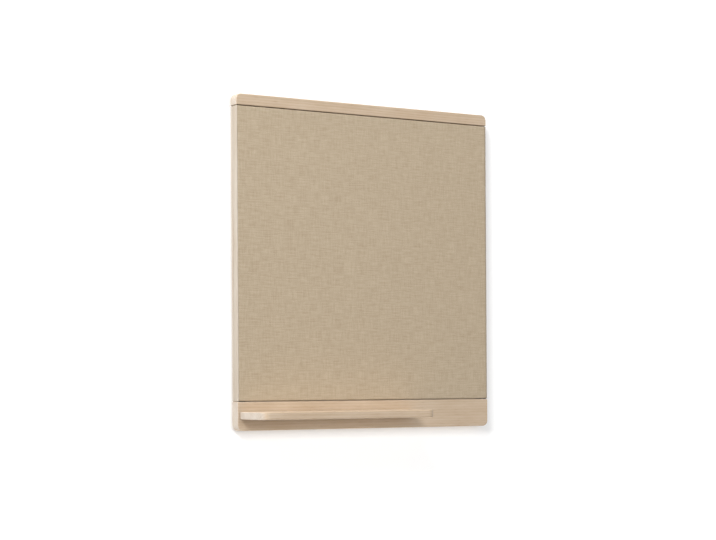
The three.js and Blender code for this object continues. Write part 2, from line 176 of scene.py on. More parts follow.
# Colours
WHITE = (1.0, 1.0, 1.0, 1.0)
BLACK = (0.0, 0.0, 0.0, 1.0)
OAK_LIGHT = srgb(198, 179, 157)
OAK_DARK = srgb(163, 136, 104)
# The stiles' oak, paler and greyer than the rails': a painted sheen for the light on the side faces
OAK_STILE_SHEEN_LIGHT = srgb(186, 177, 165)
OAK_STILE_SHEEN_DARK = srgb(153, 135, 112)
# The oak's end faces, paler and greyer: a painted sheen for the light that falls on them
OAK_END_SHEEN_LIGHT = srgb(195, 186, 175)
OAK_END_SHEEN_DARK = srgb(160, 143, 124)
OAK_PORE = srgb(134, 105, 78)
LINEN_THREAD = srgb(195, 179, 155)
LINEN_SLUB = srgb(168, 150, 125)
# Painted shade for the hollows between the linen's threads
LINEN_GAP_SHADE = srgb(128, 110, 87)
PLY_LIGHT = srgb(219, 199, 167)
PLY_DARK = srgb(196, 168, 130)
SOFT_BOARD = srgb(168, 143, 107)
SOFT_BOARD_FLECK = srgb(134, 105, 78)
ZINC = srgb(186, 188, 190)
ZINC_PATCH = srgb(196, 190, 180)
FELT_PALE = srgb(222, 218, 210)
FELT_DARK = srgb(196, 190, 180)
WALL_WHITE = srgb(240, 240, 240)

# How the materials are written: a noise's "along" is how fast it changes along the grain, where 1 is
# as fast as across it. A span is the stretch of a pattern's values that is used, and its shares are
# what the two ends of that stretch become. A relief is a bump
NOISE_SPAN = (0.3, 0.7)
FLECK_SPAN = (0.35, 0.65)

# Oak. Its growth rings, patches in them, and its fibre, pores and slow changes of tone
OAK_RINGS_ALONG = 0.05
OAK_RINGS = {"Scale": 58, "Distortion": 5, "Detail": 3, "Detail Scale": 0.5}
OAK_PATCHES = {"scale": 22}
OAK_FIBRE = {"along": 0.02, "scale": 1500, "detail": 3, "roughness": 0.6}
OAK_PORES = {"along": 0.035, "scale": 1150, "detail": 1.5}
OAK_TONE = {"along": 0.2, "scale": 50, "detail": 4, "roughness": 0.6}
OAK_RING_SHARE = 0.55
OAK_TONE_SHARES = (-0.02, 0.34)
OAK_FIBRE_SPAN = (0.35, 0.75)
OAK_FIBRE_SHARES = (0, 0.22)
OAK_FIBRE_HEIGHT = 0.4
OAK_PORE_SPAN = (0.6, 0.7)
OAK_PORE_SHARE = 0.45
OAK_PORE_RING_SPAN = (0.2, 0.9)
OAK_PORE_RING_SHARES = (0.25, 1)
# How far a face turns to the grain's ends before it takes the ends' painted sheen
OAK_END_SHEEN_SPAN = (0.5, 0.9)
OAK_ROUGHNESS = (0.5, 0.62)
OAK_RELIEF = {"strength": 0.25, "distance": 0.0002}

# Where the frame's origin lies in the log of each oak piece: along it, then across it from its heart
LOG_PLACES = {
    "top_rail": (0.3, 0.09, -0.21),
    "bottom_rail": (1.7, 0.11, 0.47),
    "left_stile": (0.9, 0.12, -0.27),
    "right_stile": (2.2, 0.13, 0.4),
    "shelf": (2.9, 0.17, 0.66),
    "cleats": (4.3, 0.05, 0.12),
}

# Linen. Its threads with painted shade between them, both sets' slubs, and a faint cloudiness
THREAD_PITCH = 0.0011
WEAVE_BASE = 0.6
# Where the weave is low, the cloth darkens by these shares: painted shade between the threads
WEAVE_SHADE_SPAN = (0.0, 0.6)
WEAVE_SHADE_SHARES = (0.5, 0)
SLUBS_ALONG = 32
SLUBS_ACROSS = 380
SLUB_NOISE = {"scale": 1, "detail": 2, "roughness": 0.6}
SLUB_SPAN = (0.35, 0.7)
SLUB_DEPTHS = (0.52, 0.4)
SLUB_HEIGHT = 0.7
CLOUD_NOISE = {"scale": 9, "detail": 3}
CLOUD_SHARES = (0, 0.05)
LINEN_RELIEF = {"strength": 0.35, "distance": 0.0004}

# Plywood
PLY_PLACE = (0.2, 0, 0.3)
PLY_FIGURE_ALONG = 0.1
PLY_FIGURE = {"Scale": 7, "Distortion": 9, "Detail": 2, "Detail Scale": 1.2}
PLY_FIBRE = {"along": 0.03, "scale": 1100, "detail": 3, "roughness": 0.6}
PLY_SHARE = 0.4
PLY_RELIEF = {"strength": 0.2, "distance": 0.0002}

# Soft board, steel and felt
FLECK_NOISE = {"scale": 900, "detail": 4, "roughness": 0.7}
FLECK_SHARES = (0, 0.5)
FLECK_RELIEF = {"strength": 0.4, "distance": 0.0005}
ZINC_NOISE = {"scale": 420, "detail": 3, "roughness": 0.6}
ZINC_PATCH_SHARES = (0, 0.25)
ZINC_ROUGHNESS = (0.28, 0.42)
FELT_NOISE = {"scale": 1600, "detail": 4, "roughness": 0.7}
FELT_RELIEF = {"strength": 0.6, "distance": 0.0005}


# Materials


class Nodes:
    """A node tree, emptied, and short ways to fill it."""

    def __init__(self, tree):
        self.tree = tree
        self.tree.nodes.clear()

    def node(self, kind, values=(), **settings):
        """A new node, with its settings, and a value or a link for each socket that is named."""
        made = self.tree.nodes.new(kind)
        for key, value in settings.items():
            setattr(made, key, value)
        for socket, value in dict(values).items():
            self.give(value, made.inputs[socket])
        return made

    def give(self, value, socket):
        """Links another node's socket to this one, or sets it to a plain value."""
        if isinstance(value, bpy.types.NodeSocket):
            self.tree.links.new(value, socket)
        else:
            socket.default_value = value

    def place(self, turn=(0, 0, 0), move=(0, 0, 0)):
        """The place in the frame that is being shaded, turned and moved."""
        coordinates = self.node("ShaderNodeTexCoord").outputs["Object"]
        values = {"Vector": coordinates, "Rotation": turn, "Location": move}
        return self.node("ShaderNodeMapping", values).outputs["Vector"]

    def stretched(self, vector, scale):
        return self.node("ShaderNodeMapping", {"Vector": vector, "Scale": scale}).outputs["Vector"]

    def noise(self, vector, scale, detail=2.0, roughness=0.5):
        values = {"Vector": vector, "Scale": scale, "Detail": detail, "Roughness": roughness}
        return self.node("ShaderNodeTexNoise", values).outputs["Fac"]

    def grain(self, vector, along, **noise):
        """Noise that is drawn out along X."""
        return self.noise(self.stretched(vector, (along, 1, 1)), **noise)

    def wave(self, vector, values, **settings):
        return self.node("ShaderNodeTexWave", {"Vector": vector, **values}, **settings).outputs["Fac"]

    def ranged(self, value, span, to=(0.0, 1.0)):
        """A value moved from one range to another, and held inside it."""
        low, high = span
        to_low, to_high = to
        values = {"Value": value, "From Min": low, "From Max": high, "To Min": to_low, "To Max": to_high}
        return self.node("ShaderNodeMapRange", values).outputs["Result"]

    def maths(self, operation, first, second=0.0):
        return self.node("ShaderNodeMath", {0: first, 1: second}, operation=operation).outputs["Value"]

    def times(self, first, second):
        return self.maths("MULTIPLY", first, second)

    def plus(self, first, second):
        return self.maths("ADD", first, second)

    def mixed(self, share, first, second):
        """A colour between two. The node's colour sockets come after those for numbers and vectors."""
        made = self.node("ShaderNodeMix", {0: share, 6: first, 7: second}, data_type="RGBA")
        return made.outputs[2]

    def bump(self, height, strength, distance):
        values = {"Height": height, "Strength": strength, "Distance": distance}
        return self.node("ShaderNodeBump", values).outputs["Normal"]


class Shader(Nodes):
    """The node tree of a new material."""

    def __init__(self, name):
        self.material = bpy.data.materials.new(name)
        self.material.use_nodes = True
        super().__init__(self.material.node_tree)
        self.output = self.node("ShaderNodeOutputMaterial")

    def surface(self, **values):
        """Finishes the material with a value or a link for each named socket of its surface."""
        named = {key.replace("_", " "): value for key, value in values.items()}
        shader = self.node("ShaderNodeBsdfPrincipled", named)
        self.give(shader.outputs["BSDF"], self.output.inputs["Surface"])
        return self.material


def oak(piece, upright=False, light=OAK_LIGHT, dark=OAK_DARK):
    """Pale oak, its grain along X, or along Z where upright. Its ends are paler and greyer: a painted
    sheen.
    """
    shader = Shader(f"oak_{piece}")
    place = shader.place((0, math.pi / 2, 0) if upright else (0, 0, 0), LOG_PLACES[piece])
    long = shader.stretched(place, (OAK_RINGS_ALONG, 1, 1))
    rings = shader.wave(long, OAK_RINGS, wave_type="RINGS", rings_direction="X", wave_profile="SAW")
    fibre = shader.grain(place, **OAK_FIBRE)

    pores = shader.ranged(shader.grain(place, **OAK_PORES), OAK_PORE_SPAN)
    pore = shader.times(pores, shader.ranged(rings, OAK_PORE_RING_SPAN, OAK_PORE_RING_SHARES))

    band = shader.times(rings, shader.noise(long, **OAK_PATCHES))
    tone = shader.ranged(shader.grain(place, **OAK_TONE), NOISE_SPAN, OAK_TONE_SHARES)
    share = shader.plus(shader.times(band, OAK_RING_SHARE), tone)

    facing = shader.node("ShaderNodeTexCoord").outputs["Normal"]
    along = shader.node("ShaderNodeSeparateXYZ", {"Vector": facing}).outputs["Z" if upright else "X"]
    # End faces are painted paler and greyer: a painted sheen for the light on them
    end = shader.ranged(shader.maths("ABSOLUTE", along), OAK_END_SHEEN_SPAN)
    side_colour = shader.mixed(share, light, dark)
    end_sheen_colour = shader.mixed(share, OAK_END_SHEEN_LIGHT, OAK_END_SHEEN_DARK)
    figure = shader.mixed(end, side_colour, end_sheen_colour)
    fibred = shader.mixed(shader.ranged(fibre, OAK_FIBRE_SPAN, OAK_FIBRE_SHARES), figure, dark)
    height = shader.maths("SUBTRACT", shader.times(fibre, OAK_FIBRE_HEIGHT), pore)
    return shader.surface(
        Base_Color=shader.mixed(shader.times(pore, OAK_PORE_SHARE), fibred, OAK_PORE),
        Roughness=shader.ranged(fibre, NOISE_SPAN, OAK_ROUGHNESS),
        Specular_IOR_Level=0.4,
        Normal=shader.bump(height, **OAK_RELIEF),
    )


def linen():
    """Plain-woven natural linen, woven along the cloth's own flat coordinates."""
    shader = Shader("linen")
    flat = shader.node("ShaderNodeUVMap", uv_map=CLOTH_MAP).outputs["UV"]
    split = shader.node("ShaderNodeSeparateXYZ", {"Vector": flat})
    turns = [shader.times(split.outputs[axis], math.pi / THREAD_PITCH) for axis in "XY"]
    warp, weft = [shader.maths("ABSOLUTE", shader.maths("SINE", turn)) for turn in turns]
    checks = {"Vector": flat, "Scale": 1 / THREAD_PITCH, "Color1": WHITE, "Color2": BLACK}
    over = shader.node("ShaderNodeTexChecker", checks).outputs["Fac"]
    under = shader.maths("SUBTRACT", 1.0, over)
    top = shader.plus(shader.times(warp, over), shader.times(weft, under))
    weave = shader.times(top, shader.plus(WEAVE_BASE, shader.times(warp, weft)))
    # Where the weave dips, the cloth darkens towards the gap colour: painted shade between the threads
    gap_shade = shader.ranged(weave, WEAVE_SHADE_SPAN, WEAVE_SHADE_SHARES)

    slubs = []
    ways = ((SLUBS_ALONG, SLUBS_ACROSS, 1), (SLUBS_ACROSS, SLUBS_ALONG, 1))
    for way, depth in zip(ways, SLUB_DEPTHS):
        streaks = shader.noise(shader.stretched(flat, way), **SLUB_NOISE)
        slubs.append(shader.ranged(streaks, SLUB_SPAN, (0, depth)))
    slub = shader.plus(*slubs)
    cloud = shader.ranged(shader.noise(flat, **CLOUD_NOISE), NOISE_SPAN, CLOUD_SHARES)
    yarn = shader.mixed(shader.plus(slub, cloud), LINEN_THREAD, LINEN_SLUB)
    height = shader.plus(weave, shader.times(slub, SLUB_HEIGHT))
    return shader.surface(
        Base_Color=shader.mixed(gap_shade, yarn, LINEN_GAP_SHADE),
        Roughness=0.88,
        Specular_IOR_Level=0.2,
        Sheen_Weight=0.12,
        Sheen_Roughness=0.5,
        Normal=shader.bump(height, **LINEN_RELIEF),
    )


def plywood():
    """Pale veneer with a broad wavy figure, its grain along X."""
    shader = Shader("plywood")
    place = shader.place(move=PLY_PLACE)
    long = shader.stretched(place, (PLY_FIGURE_ALONG, 1, 1))
    figure = shader.wave(long, PLY_FIGURE, bands_direction="Z")
    fibre = shader.grain(place, **PLY_FIBRE)
    share = shader.times(shader.plus(figure, fibre), PLY_SHARE)
    return shader.surface(
        Base_Color=shader.mixed(share, PLY_LIGHT, PLY_DARK),
        Roughness=0.7,
        Normal=shader.bump(fibre, **PLY_RELIEF),
    )


def soft_board():
    """Pressed wood fibre, with darker flecks."""
    shader = Shader("soft_board")
    fleck = shader.noise(shader.place(), **FLECK_NOISE)
    share = shader.ranged(fleck, FLECK_SPAN, FLECK_SHARES)
    return shader.surface(
        Base_Color=shader.mixed(share, SOFT_BOARD, SOFT_BOARD_FLECK),
        Roughness=0.95,
        Normal=shader.bump(fleck, **FLECK_RELIEF),
    )


def steel():
    """Zinc-plated steel, with patches of another tone and gloss."""
    shader = Shader("zinc_steel")
    patch = shader.noise(shader.place(), **ZINC_NOISE)
    share = shader.ranged(patch, NOISE_SPAN, ZINC_PATCH_SHARES)
    return shader.surface(
        Base_Color=shader.mixed(share, ZINC, ZINC_PATCH),
        Metallic=1.0,
        Roughness=shader.ranged(patch, NOISE_SPAN, ZINC_ROUGHNESS),
    )


def felt():
    """Pale pressed wool."""
    shader = Shader("felt")
    fibre = shader.noise(shader.place(), **FELT_NOISE)
    return shader.surface(
        Base_Color=shader.mixed(shader.ranged(fibre, FLECK_SPAN), FELT_PALE, FELT_DARK),
        Roughness=0.95,
        Sheen_Weight=0.3,
        Normal=shader.bump(fibre, **FELT_RELIEF),
    )


def backdrop(low, high):
    """White that keeps the board's shade close to it, and that can't be seen from behind."""
    shader = Shader("backdrop")
    middle, half = (low + high) / 2, (high - low) / 2
    split = shader.node("ShaderNodeSeparateXYZ", {"Vector": shader.place(move=-middle)}).outputs
    glows = []
    for axis, reach in (("X", half.x), ("Z", half.z)):
        past = shader.maths("SUBTRACT", shader.maths("ABSOLUTE", split[axis]), reach)
        glows.append(shader.ranged(past, WALL_FADES[axis], WALL_GLOWS))
    strength = shader.maths("MAXIMUM", *glows)
    plain = shader.node("ShaderNodeBsdfDiffuse", {"Color": WALL_WHITE}).outputs[0]
    glow = shader.node("ShaderNodeEmission", {"Color": WHITE, "Strength": strength}).outputs[0]
    lit = shader.node("ShaderNodeAddShader", {0: plain, 1: glow}).outputs[0]
    through = shader.node("ShaderNodeBsdfTransparent").outputs[0]
    side = shader.node("ShaderNodeNewGeometry").outputs["Backfacing"]
    seen = shader.node("ShaderNodeMixShader", {"Fac": side, 1: lit, 2: through}).outputs[0]
    shader.give(seen, shader.output.inputs["Surface"])
    return shader.material


# Meshes


def arc(centre, radius, start, end, steps=CORNER_STEPS):
    """Points round part of a circle, angles in degrees."""
    angles = [math.radians(start + (end - start) * i / steps) for i in range(steps + 1)]
    return [(centre[0] + radius * math.cos(a), centre[1] + radius * math.sin(a)) for a in angles]


def mesh_object(name, shape):
    """A new object from a shape, with its faces turned outward."""
    bmesh.ops.recalc_face_normals(shape, faces=shape.faces)
    mesh = bpy.data.meshes.new(name)
    shape.to_mesh(mesh)
    shape.free()
    made = bpy.data.objects.new(name, mesh)
    bpy.context.scene.collection.objects.link(made)
    return made


def lofted(rings):
    """A closed solid through rings that all have as many points, with both ends filled in."""
    shape = bmesh.new()
    rings = [[shape.verts.new(point) for point in ring] for ring in rings]
    shape.faces.new(rings[0])
    shape.faces.new(rings[-1])
    for ring, following in zip(rings, rings[1:]):
        for i in range(len(ring)):
            j = (i + 1) % len(ring)
            shape.faces.new((ring[i], ring[j], following[j], following[i]))
    return mesh_object("lofted", shape)


def prism(outline, low, high, axis):
    """An outline drawn out along an axis. Its coordinates are along the other two, in X, Y, Z order."""
    order = {"X": (2, 0, 1), "Y": (0, 2, 1), "Z": (0, 1, 2)}[axis]
    return lofted([[[(u, v, depth)[i] for i in order] for u, v in outline] for depth in (low, high)])


def block(low, high):
    """A square-edged block between two opposite corners."""
    outline = [(low[0], low[1]), (high[0], low[1]), (high[0], high[1]), (low[0], high[1])]
    return prism(outline, low[2], high[2], "Z")


def turned(profile, place):
    """A round solid about a line along Y at (x, z). Its profile is (radius, y) from end to end."""
    angles = [2 * math.pi * i / ROUND_SIDES for i in range(ROUND_SIDES)]
    return lofted([
        [(place[0] + radius * math.cos(a), y, place[1] + radius * math.sin(a)) for a in angles]
        for radius, y in profile
    ])


def settled(made):
    """Turns an object's modifiers into its mesh."""
    evaluated = made.evaluated_get(bpy.context.evaluated_depsgraph_get())
    mesh = bpy.data.meshes.new_from_object(evaluated)
    made.modifiers.clear()
    made.data = mesh
    return made


def carved(body, joins=(), cuts=()):
    """The body with some solids joined to it and others cut from it, as one clean mesh."""
    tools = [("UNION", tool) for tool in joins] + [("DIFFERENCE", tool) for tool in cuts]
    for operation, tool in tools:
        modifier = body.modifiers.new("carve", "BOOLEAN")
        modifier.operation = operation
        modifier.object = tool
        modifier.solver = "EXACT"
    settled(body)
    for _, tool in tools:
        bpy.data.objects.remove(tool)
    shape = bmesh.new()
    shape.from_mesh(body.data)
    bmesh.ops.remove_doubles(shape, verts=shape.verts, dist=WELD)
    bmesh.ops.dissolve_limit(shape, angle_limit=FLAT_ANGLE, verts=shape.verts, edges=shape.edges)
    shape.to_mesh(body.data)
    shape.free()
    return body


def eased(made, width, steps=ARRIS_STEPS):
    """Rounds the sharp edges."""
    modifier = made.modifiers.new("ease", "BEVEL")
    modifier.width = width
    modifier.segments = steps
    modifier.limit_method = "ANGLE"
    modifier.angle_limit = EASE_ANGLE
    return settled(made)


def painted(made, name, material):
    """Gives an object its name and its one material, with smooth shading."""
    made.name = name
    made.data.name = name
    made.data.materials.clear()
    made.data.materials.append(material)
    made.data.shade_smooth()
    return made


def belongs(made, node, body):
    """Lets a piece ride on its CAD body and stand for its CAD node."""
    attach(made, body)
    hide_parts(node)
    return made


def finished(made, node, material, body="board"):
    """Gives a hard piece its name, material and shading, and its place in the frame."""
    painted(made, f"{node}_look", material)
    made.data.set_sharp_from_angle(angle=EASE_ANGLE)
    made.modifiers.new("even_normals", "WEIGHTED_NORMAL").keep_sharp = True
    return belongs(settled(made), node, body)


# Screws


def cross_recess(place, y, size):
    """The cross-shaped recess for a driver, to cut into a head whose face is at y."""
    long = size / 2
    wide = long * CROSS_SLOT_SHARE
    arm = [(long, -wide), (long, wide), (wide, wide)]
    quarter_turns = ((1, 0), (0, 1), (-1, 0), (0, -1))
    outline = [(u * c - v * s, u * s + v * c) for c, s in quarter_turns for u, v in arm]
    levels = ((y + OVERRUN, 1), (y, 1), (y - size * CROSS_DEPTH_SHARE, CROSS_TAPER_SHARE))
    return lofted([
        [(place[0] + u * share, level, place[1] + v * share) for u, v in outline]
        for level, share in levels
    ])


def screw_place(node):
    """A screw's X and Z, and the Y of its head's face and of its point."""
    low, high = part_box(node)
    return ((low.x + high.x) / 2, (low.z + high.z) / 2), high.y, low.y


def screw(node, sizes, material):
    """A countersunk screw with a smooth shank and a cross recess."""
    place, head_y, point_y = screw_place(node)
    profile = [
        (sizes["head"] - HEAD_GAP, head_y),
        (sizes["head"], head_y - HEAD_GAP),
        (sizes["shank"], head_y - sizes["sink"]),
        (sizes["shank"], point_y + sizes["point"]),
        (SCREW_TIP, point_y),
    ]
    made = carved(turned(profile, place), cuts=[cross_recess(place, head_y, sizes["cross"])])
    return finished(made, node, material)


def countersink(node, sizes):
    """What a screw's head needs cut away, so that it lies flush."""
    place, head_y, _ = screw_place(node)
    profile = [
        (sizes["shank"] + HEAD_GAP, head_y - sizes["sink"] - HEAD_GAP),
        (sizes["head"] + HEAD_GAP, head_y - HEAD_GAP),
        (sizes["head"] + HEAD_GAP, head_y + OVERRUN),
    ]
    return turned(profile, place)


# Frame


def rail_outline(low, high, round_top):
    """A rail from the front, (x, z), with its two outer corners rounded."""
    r = CORNER_RADIUS
    if round_top:
        right = arc((high.x - r, high.z - r), r, 0, 90)
        left = arc((low.x + r, high.z - r), r, 90, 180)
        return [(low.x, low.z), (high.x, low.z), *right, *left]
    left = arc((low.x + r, low.z + r), r, 180, 270)
    right = arc((high.x - r, low.z + r), r, 270, 360)
    return [*left, *right, (high.x, high.z), (low.x, high.z)]


def rail_ledges(rail_edge, panel_edge, ledge_end):
    """The seat of the pin panel and, behind it, that of the back panel, inside a rail's edge."""
    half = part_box("right_stile")[0].x - CLEARANCE
    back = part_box("top_rail")[1].y
    inside = rail_edge + math.copysign(ARRIS + OVERRUN, rail_edge - ledge_end)
    steps = [
        (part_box("linen_cover")[1].y + CLEARANCE, panel_edge),
        (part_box("back_panel")[1].y + CLEARANCE, ledge_end),
    ]
    return [block((-half, y, min(inside, z)), (half, back, max(inside, z))) for y, z in steps]


def top_rail(material):
    """The rail with both upper corners rounded, and its ledges below."""
    low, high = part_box("top_rail")
    edge = high.z - TOP_RAIL_HEIGHT
    outline = rail_outline(Vector((low.x, low.y, edge)), high, True)
    bar = eased(prism(outline, low.y, high.y, "Y"), ARRIS)
    ledges = rail_ledges(edge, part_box("back_panel")[1].z + CLEARANCE, low.z)
    return finished(carved(bar, joins=ledges), "top_rail", material)


def bottom_rail(material):
    """The taller rail, with its ledges above and the counterbored holes of the shelf's screws."""
    low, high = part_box("bottom_rail")
    edge = low.z + BOTTOM_RAIL_HEIGHT
    outline = rail_outline(low, Vector((high.x, high.y, edge)), False)
    bar = eased(prism(outline, low.y, high.y, "Y"), ARRIS)
    ledges = rail_ledges(edge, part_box("back_panel")[0].z - CLEARANCE, high.z)
    radius = SHELF_SCREW["head"] + COUNTERBORE_GAP
    cuts = []
    for node in SHELF_SCREWS:
        place, head_y, _ = screw_place(node)
        cuts.append(turned([(radius, head_y), (radius, high.y + OVERRUN)], place))
        cuts.append(countersink(node, SHELF_SCREW))
    return finished(carved(bar, joins=ledges, cuts=cuts), "bottom_rail", material)


def stile_outline(low, high, sign):
    """A stile from above, (x, y): its lip, its grooved outer face, and the seats of both panels."""
    outer, inner = (low.x, high.x) if sign < 0 else (high.x, low.x)
    lip_x = outer - sign * LIP_WIDTH
    panel_x = sign * (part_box("back_panel")[1].x + CLEARANCE)
    panel_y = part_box("back_panel")[1].y + CLEARANCE
    linen_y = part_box("linen_cover")[1].y + CLEARANCE
    groove_back = high.y - GROOVE_FROM_BACK
    groove_front = groove_back - GROOVE_WIDTH
    face = [
        *arc((-ARRIS, low.y + ARRIS), ARRIS, -90, 0, ARRIS_STEPS),
        (0, groove_front),
        (-GROOVE_DEPTH, groove_front),
        (-GROOVE_DEPTH, groove_back),
        (0, groove_back),
        *arc((-ARRIS, high.y - ARRIS), ARRIS, 0, 90, ARRIS_STEPS),
    ]
    outline = [(lip_x, low.y), *[(outer + sign * out, y) for out, y in face]]
    outline += [(inner, high.y), (inner, panel_y), (panel_x, panel_y)]
    return outline + [(panel_x, linen_y), (lip_x, linen_y)]


def stile_seams(low, high, sign):
    """What is cut from a stile's ends, above and below the linen, for the seams round it."""
    outer = low.x if sign < 0 else high.x
    neck_x, neck_y = outer - sign * SEAM_DEPTH, low.y + SEAM_DEPTH
    inside, outside = outer - sign * (LIP_WIDTH + OVERRUN), outer + sign * OVERRUN
    outline = [(inside, neck_y), (inside, low.y - OVERRUN), (outside, low.y - OVERRUN)]
    outline += [(outside, high.y + OVERRUN), (neck_x, high.y + OVERRUN), (neck_x, neck_y)]
    linen_low, linen_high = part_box("linen_cover")
    ends = ((low.z - OVERRUN, linen_low.z), (linen_high.z, high.z + OVERRUN))
    return [prism(outline, *end, "Z") for end in ends]


def stile(node, sign, material):
    """A rebated side strip, grooved down its outer face, on the side of X that its sign says."""
    low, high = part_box(node)
    bar = eased(prism(stile_outline(low, high, sign), low.z, high.z, "Z"), FINE_ARRIS / 2, FINE_STEPS)
    return finished(carved(bar, cuts=stile_seams(low, high, sign)), node, material)


def back_panel(material):
    """The plywood back, countersunk for the panel's screws."""
    low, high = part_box("back_panel")
    board = eased(block(low, high), FINE_ARRIS, FINE_STEPS)
    made = carved(board, cuts=[countersink(node, SMALL_SCREW) for node in PANEL_SCREWS])
    return finished(made, "back_panel", material)


# Cleats


def board_cleat(material):
    """The board's hanging strip, bevelled below so that it hooks over the wall's."""
    low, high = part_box("board_cleat")
    thickness = high.y - low.y
    outline = [(low.y, high.z), (low.y, low.z + thickness), (high.y, low.z), (high.y, high.z)]
    bar = eased(prism(outline, low.x, high.x, "X"), FINE_ARRIS)
    made = carved(bar, cuts=[countersink(node, CLEAT_SCREW) for node in CLEAT_SCREWS])
    return finished(made, "board_cleat", material)


def wall_cleat(material):
    """The wall's strip, bevelled above, with countersunk holes for wall screws."""
    low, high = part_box("wall_cleat")
    thickness = high.y - low.y
    outline = [(low.y, low.z), (high.y, low.z), (high.y, high.z - thickness), (low.y, high.z)]
    bar = eased(prism(outline, low.x, high.x, "X"), FINE_ARRIS)
    z = (high.z - thickness - low.z) * WALL_HOLE_HEIGHT_SHARE
    profile = [
        (WALL_HEAD_RADIUS + OVERRUN, low.y - OVERRUN),
        (WALL_HOLE_RADIUS, low.y + WALL_HEAD_DEPTH),
        (WALL_HOLE_RADIUS, high.y + OVERRUN),
    ]
    cuts = [turned(profile, ((high.x - low.x) * share, z)) for share in WALL_HOLE_SHARES]
    return finished(carved(bar, cuts=cuts), "wall_cleat", material, "wall_mount")


# Shelf and bumpers


def shelf(material):
    """A board with rounded front corners and edges, left square where it meets the rail."""
    low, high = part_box("shelf")
    r = SHELF_CORNER_RADIUS
    hidden = high.y + SHELF_ARRIS + OVERRUN
    left = arc((low.x + r, low.y + r), r, 180, 270)
    right = arc((high.x - r, low.y + r), r, 270, 360)
    board = prism([(low.x, hidden), *left, *right, (high.x, hidden)], low.z, high.z, "Z")
    behind = block(
        (low.x - OVERRUN, high.y, low.z - OVERRUN),
        (high.x + OVERRUN, hidden + OVERRUN, high.z + OVERRUN),
    )
    return finished(carved(eased(board, SHELF_ARRIS), cuts=[behind]), "shelf", material)


def bumper(node, material):
    """A felt disc with rounded edges."""
    low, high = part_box(node)
    radius = (high.x - low.x) / 2 - FELT_ROUND
    front = arc((radius, low.y + FELT_ROUND), FELT_ROUND, -90, 0, ARRIS_STEPS)
    back = arc((radius, high.y - FELT_ROUND), FELT_ROUND, 0, 90, ARRIS_STEPS)
    place = ((low.x + high.x) / 2, (low.z + high.z) / 2)
    return finished(turned([*front, *back], place), node, material)


# Linen


def cloth_lines(low, high):
    """Grid lines from edge to edge, close together only where the cloth turns."""
    inner = high - low - 2 * LINEN_TURN
    count = round(inner / LINEN_CELL)
    return [low, *[low + LINEN_TURN + inner * i / count for i in range(count + 1)], high]


def swell(x, z, low, high):
    """How far back the cloth's front lies at a place: unevenly inside, and not at all at the edges."""
    inside = min(x - low.x, high.x - x, z - low.z, high.z - z)
    share = max(0.0, min(1.0, (inside - LINEN_TURN) / LINEN_CELL))
    return LINEN_SWELL * share * (noise.noise(Vector((x, z, 0)) / LINEN_SWELL_LENGTH) + 1)


def cloth_edge(xs, zs, low, high):
    """The way round the front's edge, and the rings that go on from it over the core's edges and into
    the hem behind, as (point, flat place)."""
    last_x, last_z = len(xs) - 1, len(zs) - 1
    way_round = [(i, 0) for i in range(last_x)]
    way_round += [(last_x, j) for j in range(last_z)]
    way_round += [(i, last_z) for i in range(last_x, 0, -1)]
    way_round += [(0, j) for j in range(last_z, 0, -1)]
    middle = (low + high) / 2
    half = high - middle
    levels = [(y, 0.0) for y in (low.y + LINEN_TURN, middle.y, high.y - LINEN_TURN, high.y)]
    levels += [(high.y, inset) for inset in (LINEN_TURN, LINEN_HEM / 2, LINEN_HEM)]
    rings = []
    for y, inset in levels:
        beyond = y - low.y + inset
        drawn_x, drawn_z = 1 - inset / half.x, 1 - inset / half.z
        ring = []
        for i, j in way_round:
            from_x, from_z = xs[i] - middle.x, zs[j] - middle.z
            out_x = math.copysign(beyond, from_x) if i in (0, last_x) else 0
            out_z = math.copysign(beyond, from_z) if j in (0, last_z) else 0
            point = (middle.x + from_x * drawn_x, y, middle.z + from_z * drawn_z)
            ring.append((point, (xs[i] + out_x, zs[j] + out_z)))
        rings.append(ring)
    return way_round, rings


def bare_cloth(low, high):
    """The cloth before it has a thickness. Its flat places are kept for the weave."""
    xs, zs = cloth_lines(low.x, high.x), cloth_lines(low.z, high.z)
    shape = bmesh.new()
    flat = {}

    def corner(point, place):
        made = shape.verts.new(point)
        flat[made] = place
        return made

    front = [[corner((x, low.y + swell(x, z, low, high), z), (x, z)) for z in zs] for x in xs]
    for column, following in zip(front, front[1:]):
        for i in range(len(zs) - 1):
            shape.faces.new((column[i], following[i], following[i + 1], column[i + 1]))
    way_round, rings = cloth_edge(xs, zs, low, high)
    ring = [front[i][j] for i, j in way_round]
    for following in ([corner(*pair) for pair in pairs] for pairs in rings):
        for i in range(len(ring)):
            j = (i + 1) % len(ring)
            shape.faces.new((ring[i], ring[j], following[j], following[i]))
        ring = following
    cloth = shape.loops.layers.uv.new(CLOTH_MAP)
    for face in shape.faces:
        for loop in face.loops:
            loop[cloth].uv = flat[loop.vert]
    return mesh_object("linen", shape)


def linen_cover(material):
    """The cloth, stretched over the core's front and edges and hemmed behind it."""
    made = bare_cloth(*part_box("linen_cover"))
    thick = made.modifiers.new("thickness", "SOLIDIFY")
    thick.thickness = LINEN_THICKNESS
    thick.use_even_offset = True
    smooth = made.modifiers.new("smooth", "SUBSURF")
    smooth.levels = LINEN_SMOOTHING
    painted(settled(made), "linen_cover_look", material)
    belongs(made, "linen_cover", "board")
    return made


# Stage, camera and light


def backdrop_plane(name, corners, material):
    """A plane that the camera alone sees, so that its white doesn't light the object."""
    shape = bmesh.new()
    shape.faces.new([shape.verts.new(corner) for corner in corners])
    mesh = bpy.data.meshes.new(name)
    shape.to_mesh(mesh)
    shape.free()
    mesh.materials.append(material)
    made = bpy.data.objects.new(name, mesh)
    bpy.context.scene.collection.objects.link(made)
    made.visible_diffuse = False
    made.visible_glossy = False
    made.visible_transmission = False
    made.visible_shadow = False


